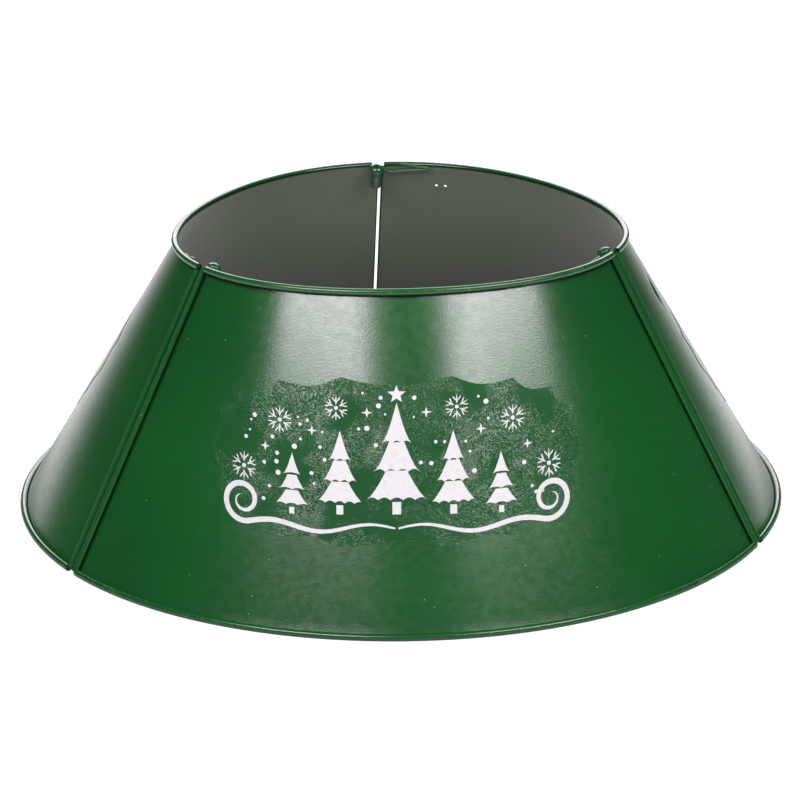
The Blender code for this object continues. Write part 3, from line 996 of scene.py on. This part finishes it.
def ink_material():
    material, tree, place = new_material("white_ink")
    thin = ramp(tree, noise(tree, place, 260.0, 3.0, 0.6), 0.3, 0.55)
    ink = mix_colours(tree, thin, (0.63, 0.64, 0.64), (0.68, 0.69, 0.69))
    pits = times(tree, use_group(tree, "specks", Density=150.0, Size=0.00035), 0.5)
    ink = mix_colours(tree, pits, ink, (0.2, 0.35, 0.24))
    wrinkles = use_group(tree, "crackle")
    bump = add_node(tree, "Bump", {"Strength": 0.12, "Distance": 0.0003, "Height": wrinkles}).outputs[0]
    gloss = ramp(tree, noise(tree, place, 60.0, 2.0), 0.35, 0.65, 0.22, 0.3)
    sockets = {"Base Color": ink, "Roughness": gloss, "Normal": bump, "Specular IOR Level": 0.15}
    show(tree, add_node(tree, "BsdfPrincipled", sockets))
    return material


outlines, taken = [], [*stars, *snowflakes]
for along, foot, rise, width in trees:
    outlines += tree_outlines(along, foot, rise, width)
    for step in range(9):
        share = step / 8
        taken.append((along, foot + rise * share, width / 2 * (1 - share) + 1))
for along, rise, radius in stars:
    points, inner_share = (5, 0.42) if radius > 5 else (4, 0.3)
    outlines.append(star_outline(along, rise, radius, points, inner_share))
for along, rise, radius in snowflakes:
    outlines += snowflake_outlines(along, rise, radius)
outlines += ribbon_outlines()
outlines += snow_outlines(taken)
ink = flat_piece("print", [[(point[0] * mm, point[1] * mm) for point in outline] for outline in outlines])
wrap(ink, film_lift + film_thickness + print_thickness / 2)
thicken(ink, print_thickness, 1)
ink.data.materials.append(ink_material())
for name, twin in panel_copies(ink, "print").items():
    smooth(twin)
    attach(twin, frame["nodes"][f"{name}_decal"]["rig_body"])


# Seam screws
# Pan head machine screws with a cross recess and a cut thread, painted over with the collar. One
# stands near the top and one near the bottom of each seam, inside the sheet and in line with it.
axis_side = 0.004
washer_radius = 0.0062
washer_thickness = 0.001
fit_gap = 0.0003
hook_wire = 0.001
head_radius = 0.006
head_height = 0.0048
shank_radius = 0.003
thread_depth = 0.0004
thread_pitch = 0.001
head_flank_share = 0.34
head_crown_share = 0.97
head_edge = 0.0002
plain_length = 0.0012
point_length = 0.0009
point_inset = 0.0007
recess_size = (0.0062, 0.0016, 0.005)
recess_taper = (0.62, 0.7, 1)
worn_from = head_radius * 0.93
turned_steps = 48
knuckle_length = 0.016
tip_reach = 0.001
axis_inset = washer_radius + fit_gap + sheet / 2
washer_top = -fit_gap
hook_middle = washer_top - washer_thickness - fit_gap - hook_wire
knuckle_top = hook_middle - hook_wire - fit_gap
shank_length = knuckle_length - knuckle_top + tip_reach
upper_seat = 0.0033
lower_clearance = 0.012
seam_line = Line(half_panel)
lower_seat = lower_clearance - seam_line.length - (knuckle_top - knuckle_length)
seam_angles = {"front_right": half_panel, "back": half_panel * 3, "front_left": half_panel * 5}
seats = {"upper": upper_seat, "lower": lower_seat}


def seam_frame(angle):
    """X off the sheet, Y along the rim and Z up the screw's axis, from the level of the top fold."""
    line = Line(angle)
    origin = line.top + line.side * axis_side - line.off * axis_inset
    return Matrix.Translation(origin) @ Matrix((line.off, line.side, line.up)).transposed().to_4x4()


def turned(name, profile):
    """A turned piece: a profile of radius and height, spun round the Z axis."""
    made, bm = start_piece(name, 1)
    bm.verts[0].co = (profile[0][0], 0, profile[0][1])
    bm.verts[0].select_set(True)
    bmesh.update_edit_mesh(made.data)
    for (radius, level), (next_radius, next_level) in zip(profile, profile[1:]):
        move = {"value": (next_radius - radius, 0, next_level - level)}
        bpy.ops.mesh.extrude_vertices_move(TRANSFORM_OT_translate=move)
    select_mesh()
    bpy.ops.mesh.spin(steps=turned_steps, angle=math.tau, center=(0, 0, 0), axis=(0, 0, 1))
    close_welded()
    return made


def screw_profile():
    """Half a screw's outline, from the crown of its head to its tip; the head's underside is at 0."""
    flank = head_height * head_flank_share
    rise = head_height - flank
    dome = (head_radius ** 2 + rise ** 2) / (2 * rise)
    reach = math.asin(head_radius / dome) * head_crown_share
    points = []
    for step in range(13):
        turn = reach * step / 12
        points.append((dome * math.sin(turn), head_height - dome * (1 - math.cos(turn))))
    points += [(head_radius, flank * 0.8), (head_radius, head_edge), (head_radius - head_edge, 0)]
    level = -plain_length
    points += [(shank_radius, 0), (shank_radius, level)]
    while level - thread_pitch > point_length - shank_length:
        points.append((shank_radius - thread_depth, level - thread_pitch * 0.5))
        points.append((shank_radius, level - thread_pitch * 0.9))
        level -= thread_pitch
        points.append((shank_radius, level))
    return points + [(shank_radius - point_inset, -shank_length), (0, -shank_length)]


def place_at_seams(pattern, shape, node, crease, level=0):
    """A copy of a pattern piece at both fixings of each seam, for the node there; the pattern goes."""
    for seam, angle in seam_angles.items():
        for place, seat in seats.items():
            spot = seam_frame(angle) @ Matrix.Translation((0, 0, seat + level))
            twin = copy_of(pattern, f"{seam}_{place}_{shape}", spot)
            smooth(twin, crease)
            stand_for(twin, f"{seam}_{place}_{node}")
    bpy.data.objects.remove(pattern, do_unlink=True)


screw = turned("screw", screw_profile())
for turn in (0, math.pi / 2):
    bpy.ops.mesh.primitive_cube_add(size=1, location=(0, 0, 0))
    bar = bpy.context.object
    bm = open_mesh(bar)
    pick(bm, bm.faces, lambda face: face.normal.z < -0.5)
    bpy.ops.transform.resize(value=recess_taper, center_override=(0, 0, 0))
    close_mesh()
    bar.scale = recess_size
    bar.rotation_euler.z = turn
    bar.location.z = head_height
    cut_out(screw, bar)
screw_green = enamel("screw_green", (0.008, 0.085, 0.028), 0.2, peel=0.05, grain=1500, rub=0.5)
screw.data.materials.append(screw_green)
add_edge_share(screw, lambda vertex: float(vertex.co.xy.length > worn_from))
place_at_seams(screw, "pan_screw", "screw", math.radians(35))


# Washers
# Plain stamped steel washers under the screw heads, rounded on one side by the punch and enamelled.
# The heads press them down on the hook wires.
bore_radius = shank_radius + fit_gap
low = washer_top - washer_thickness
soft = 0.00025
washer_profile = [(bore_radius, low), (washer_radius - soft, low)]
washer_profile += [(washer_radius - soft * 0.3, low + soft * 0.3), (washer_radius, low + soft)]
washer_profile += [(washer_radius, washer_top - soft * 0.5)]
washer_profile += [(washer_radius - soft * 0.5, washer_top), (bore_radius, washer_top), (bore_radius, low)]
washer = turned("washer", washer_profile)
# Green enamel, painted lighter than the sheet's as a painted highlight on the washer's thin rim
washer_highlight_green = enamel("washer_highlight_green", (0.03, 0.13, 0.06), 0.16, peel=0.05, grain=1500, rub=0.5)
washer.data.materials.append(washer_highlight_green)
place_at_seams(washer, "ring", "washer", math.radians(35))


# Knuckles
# Strip steel rolled round the screw into a barrel, its end a foot that is spot welded to the inside
# of the panel; the screw turns down into it.
knuckle_radius = 0.0045
foot_back = 0.002
foot_reach = 0.006
foot_thickness = 0.0012
knuckle_start = math.radians(35)
knuckle_stop = math.radians(270)
knuckle_round = 0.00025


def face_level(angle, distance):
    """How far the sheet's inner face lies from the screw's axis, at a distance along the rim."""
    near = Line(angle + distance / seam_line.top.xy.length)
    return (seam_frame(angle).inverted() @ (near.top - near.off * sheet / 2)).x


def arc_points(centre, radius, first, last, steps, level=0):
    points = []
    for step in range(steps + 1):
        turn = first + (last - first) * step / steps
        points.append(centre + Vector((math.cos(turn), math.sin(turn), 0)) * radius + Vector((0, 0, level)))
    return points


def knuckle_outline():
    """The barrel's outside and its foot, drawn smaller by the rounding that the edges get."""
    foot_face = face_level(half_panel, axis_side + foot_reach) - fit_gap - knuckle_round
    inner = foot_face - foot_thickness + knuckle_round * 2
    outline = arc_points(Vector(), knuckle_radius - knuckle_round, knuckle_start, knuckle_stop, 40)
    outline += [(inner, -foot_back - foot_thickness), (foot_face, -foot_back)]
    return outline + [(foot_face, foot_reach - knuckle_round), (inner, foot_reach - knuckle_round)]


def curve_piece(name, routes, closed, **settings):
    """A curve with these settings along each route, made into a mesh whose faces point outwards."""
    curve = bpy.data.curves.new(name, "CURVE")
    for setting, value in settings.items():
        setattr(curve, setting, value)
    for route in routes:
        spline = curve.splines.new("POLY")
        spline.points.add(len(route) - 1)
        spline.use_cyclic_u = closed
        for point, corner in zip(spline.points, route):
            point.co = (*Vector(corner).to_3d(), 1)
    piece = bpy.data.objects.new(name, curve)
    scene.collection.objects.link(piece)
    select_only(piece)
    bpy.ops.object.convert(target="MESH")
    open_mesh(piece)
    close_welded()
    piece.select_set(False)
    return piece


knuckle = curve_piece(
    "knuckle",
    (knuckle_outline(), arc_points(Vector(), bore_radius + knuckle_round, 0, -math.tau, 40)[:-1]),
    closed=True,
    dimensions="2D",
    fill_mode="BOTH",
    extrude=knuckle_length / 2 - knuckle_round,
    bevel_depth=knuckle_round,
    bevel_resolution=2,
)
knuckle_green = enamel("knuckle_green", (0.018, 0.075, 0.03), 0.34, peel=0.15, grain=1100, rub=0.4)
knuckle.data.materials.append(knuckle_green)
knuckle_centre = knuckle_top - knuckle_length / 2
place_at_seams(knuckle, "barrel", "knuckle", math.radians(40), knuckle_centre)


# Hook wires
# Round wire, bent like a hairpin: its long leg is welded along the inside of the panel under the top
# bead and ends round the screw, as a closed eye at the front seams and an open hook at the back.
hook_play = 0.0005
hook_radius = shank_radius + hook_play + hook_wire
settle_distance = 0.0096
settle_drop = 0.0045
tail_distance = 0.043
tail_drop = 0.0009
tail_rise = 0.0013
short_end_distance = 0.018
short_end_rise = 0.0033
short_leg_shares = (0, 0.24, 0.44, 0.62, 0.8, 1)
short_rise_shares = (0, 0, 0.1, 0.7, 0.9, 1)
eye_turn = math.radians(290)
eye_lead = 0.0055
lead_bend = 0.0025
tip_side = 0.0006
panel_flats = 20


def face_point(angle, distance, level):
    """Centre of a wire that lies on the inner face, or above the top fold on the roll's shoulder."""
    radius = (seam_line.top + seam_line.up * level).xy.length
    line = Line(angle - distance / radius)
    chord_drop = (1 - math.cos(half_panel / panel_flats)) * radius
    reach = rim_outer + fit_gap + hook_wire
    inset = math.sqrt(reach ** 2 - max(level, 0) ** 2) - rim_roll + chord_drop
    return line.top + line.up * level - line.off * inset


def tail_points(drop):
    """The long leg, the round bend and the short leg, in the seam's own frame."""
    route = []
    for step in range(5):
        share = step / 4
        distance = settle_distance + (tail_distance - settle_distance) * share
        route.append((distance, -settle_drop + (settle_drop - tail_drop) * share))
    bend = (tail_rise + tail_drop) / 2
    middle = (tail_rise - tail_drop) / 2
    for step in range(1, 6):
        turn = math.pi * step / 6
        route.append((tail_distance + bend * math.sin(turn), middle - bend * math.cos(turn)))
    for along, rise in zip(short_leg_shares, short_rise_shares):
        distance = tail_distance + (short_end_distance - tail_distance) * along
        route.append((distance, tail_rise + (short_end_rise - tail_rise) * rise))
    into = seam_frame(half_panel).inverted()
    return [into @ face_point(half_panel, distance, level - drop) for distance, level in route]


def rounded_route(points, cuts):
    """More points along a smooth curve through these."""
    route = []
    ends = [points[0] * 2 - points[1]] + points + [points[-1] * 2 - points[-2]]
    for before, start, stop, after in zip(ends, ends[1:], ends[2:], ends[3:]):
        for cut in range(cuts):
            t = cut / cuts
            pull = (stop - before) * 0.5
            push = (after - start) * 0.5
            route.append(
                start * (2 * t ** 3 - 3 * t ** 2 + 1)
                + stop * (3 * t ** 2 - 2 * t ** 3)
                + pull * (t ** 3 - 2 * t ** 2 + t)
                + push * (t ** 3 - t ** 2)
            )
    return route + [points[-1]]


def hook_mesh(name, seat, is_open):
    level = seat + hook_middle
    if is_open:
        lead = Vector((hook_radius - lead_bend, -hook_radius - lead_bend, 0))
        near_end = arc_points(lead, lead_bend, 0, math.pi / 2, 5, level)
        tip_turn = math.asin(tip_side / hook_radius) - math.pi
        near_end += arc_points(Vector(), hook_radius, -math.pi / 2, tip_turn, 8, level)[1:]
    else:
        near_end = [Vector((hook_radius, -eye_lead, level))]
        near_end += arc_points(Vector(), hook_radius, 0, eye_turn, 22, level)
    route = rounded_route(near_end[::-1] + tail_points(upper_seat - seat), 3)
    settings = {"dimensions": "3D", "bevel_depth": hook_wire, "bevel_resolution": 4}
    return curve_piece(name, [route], closed=False, **settings, use_fill_caps=True)


# Green enamel, painted lighter than the sheet's as a painted highlight along the thin round wire
hook_highlight_green = enamel("hook_highlight_green", (0.02, 0.125, 0.048), 0.2, peel=0.04, grain=1500, rub=0.4)
for kind in ("eye", "hook"):
    for place, seat in seats.items():
        wire = hook_mesh("wire", seat, kind == "hook")
        wire.data.materials.append(hook_highlight_green)
        for seam, angle in seam_angles.items():
            if (seam == "back") == (kind == "hook"):
                twin = copy_of(wire, f"{seam}_{place}_wire_{kind}", seam_frame(angle))
                smooth(twin, math.radians(40))
                stand_for(twin, f"{seam}_{place}_{kind}")
        bpy.data.objects.remove(wire, do_unlink=True)
